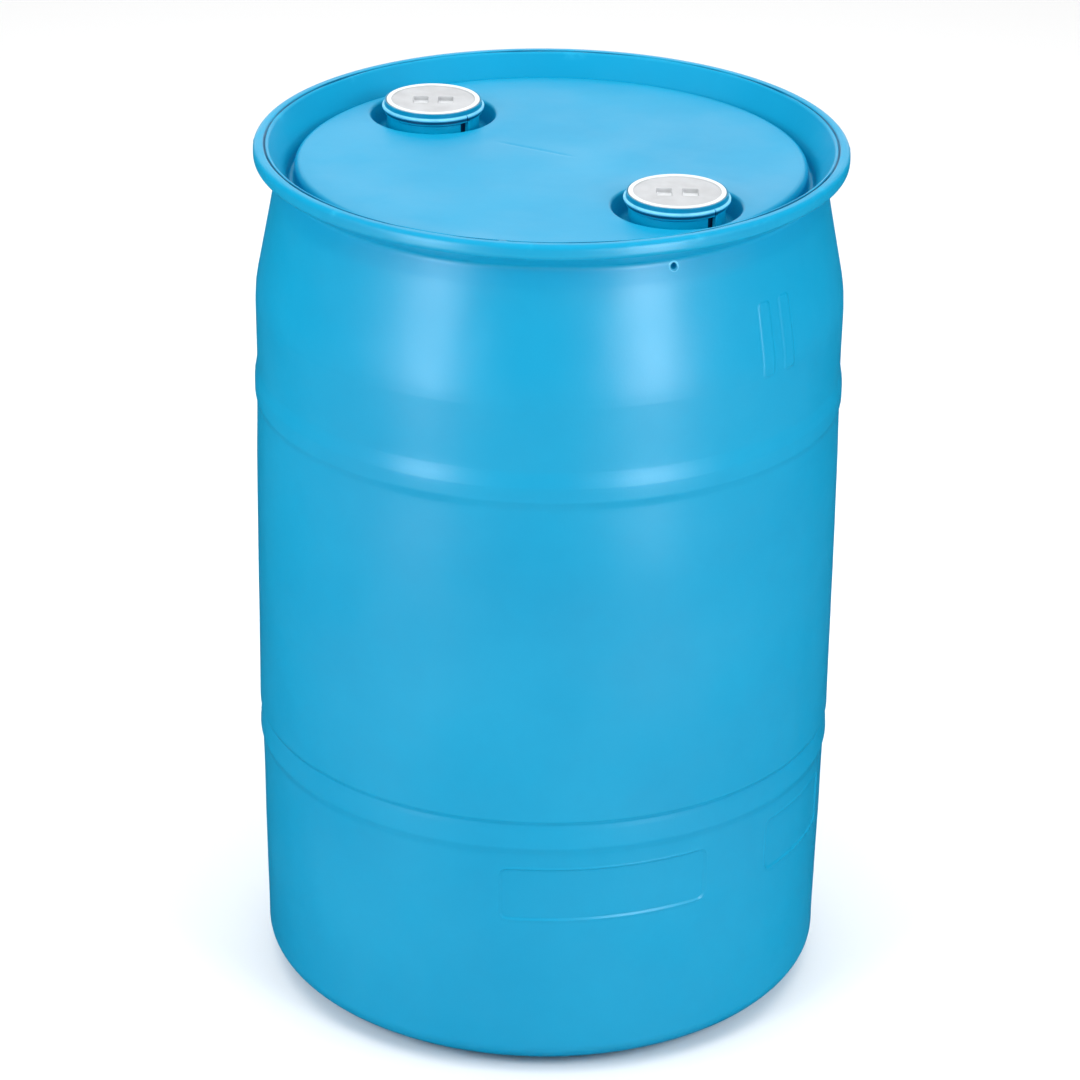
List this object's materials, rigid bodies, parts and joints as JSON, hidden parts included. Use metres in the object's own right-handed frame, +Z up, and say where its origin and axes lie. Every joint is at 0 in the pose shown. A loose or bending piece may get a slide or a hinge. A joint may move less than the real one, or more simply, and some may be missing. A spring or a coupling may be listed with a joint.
{
  "type": "closed-head plastic drum",
  "caption": "Closed-head blow-moulded plastic drum with a rolled rim, hooped wall and screw-in bungs standing in round recesses of the head.",
  "frame": {"origin": "centre of the plane that the foot ring rests on", "axes": "+Z up along the drum's axis; the front bung stands 47.4 degrees clockwise from +X seen from above, the rear bung opposite it"},
  "size_m": [0.588, 0.5878, 0.89],
  "materials": {
    "blue_shell": "satin blow-moulded polyethylene",
    "blue_neck": "satin injection-moulded polyethylene",
    "gasket_rubber": "smooth matt rubber",
    "white_plug": "satin injection-moulded polyethylene"
  },
  "bodies": {
    "drum": {"drum_body": "blue_shell", "front_bung_housing": "blue_neck", "rear_bung_housing": "blue_neck"},
    "front_gasket": {"front_plug_gasket": "gasket_rubber"},
    "rear_gasket": {"rear_plug_gasket": "gasket_rubber"},
    "front_plug": {"front_bung_plug": "white_plug"},
    "rear_plug": {"rear_bung_plug": "white_plug"}
  },
  "joints": [
    {"name": "front_plug_lift", "type": "slide", "parent": "drum", "child": "front_gasket", "axis": [0, 0, 1], "range_m": [0, 0.0245]},
    {"name": "front_plug_turn", "type": "hinge", "parent": "front_gasket", "child": "front_plug", "pos_m": [0.11981, -0.13029, 0.87], "axis": [0, 0, 1], "range_deg": [0, 3960]},
    {"name": "rear_plug_lift", "type": "slide", "parent": "drum", "child": "rear_gasket", "axis": [0, 0, 1], "range_m": [0, 0.0245]},
    {"name": "rear_plug_turn", "type": "hinge", "parent": "rear_gasket", "child": "rear_plug", "pos_m": [-0.11981, 0.13029, 0.87], "axis": [0, 0, 1], "range_deg": [0, 1440]}
  ],
  "couplings": [
    {"joint": "front_plug_lift", "follows": "front_plug_turn", "m_per_rad": 0.00035157},
    {"joint": "rear_plug_lift", "follows": "rear_plug_turn", "m_per_rad": 0.00095493}
  ]
}
